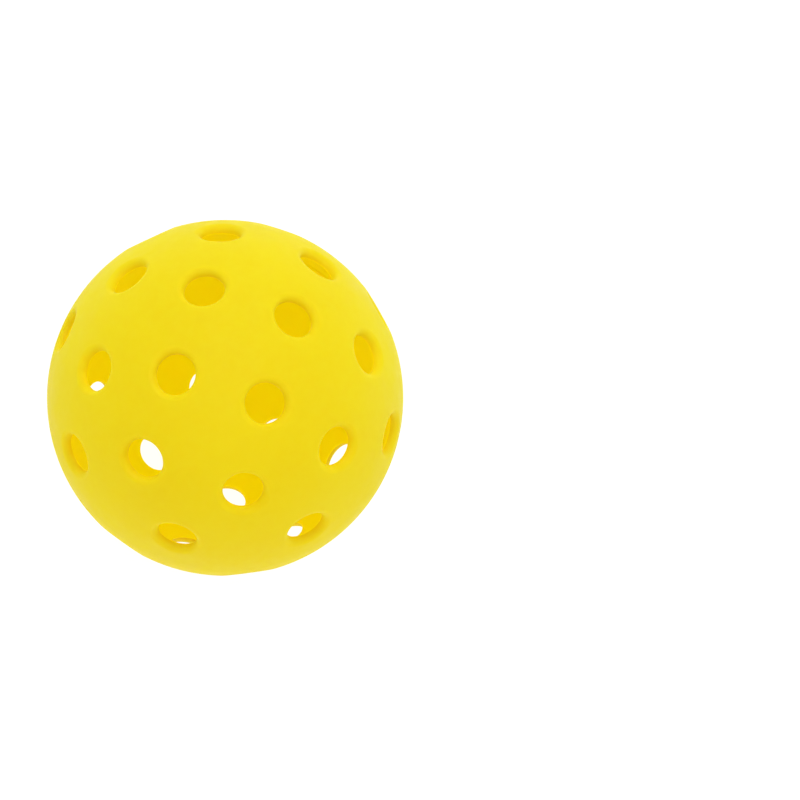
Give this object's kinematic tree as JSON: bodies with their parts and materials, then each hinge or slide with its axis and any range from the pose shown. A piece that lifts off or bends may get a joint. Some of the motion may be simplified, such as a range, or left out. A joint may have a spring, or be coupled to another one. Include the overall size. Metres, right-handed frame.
{
  "type": "pickleball ball",
  "caption": "Hollow yellow plastic pickleball ball with round holes all over, made of two half shells welded round the equator in a stepped joint.",
  "frame": {"origin": "centre of the ball", "axes": "+Z along the moulding axis, out through the middle of the upper half's four polar holes; +X passes under one hole of the upper half's rim ring; the weld seam lies in the plane z = 0"},
  "size_m": [0.074, 0.074, 0.074],
  "materials": {
    "shell": "matte",
    "weld": "satin"
  },
  "bodies": {
    "root": {"upper_half_shell": "shell", "lower_half_shell": "shell", "weld_bead": "weld"}
  },
  "joints": []
}
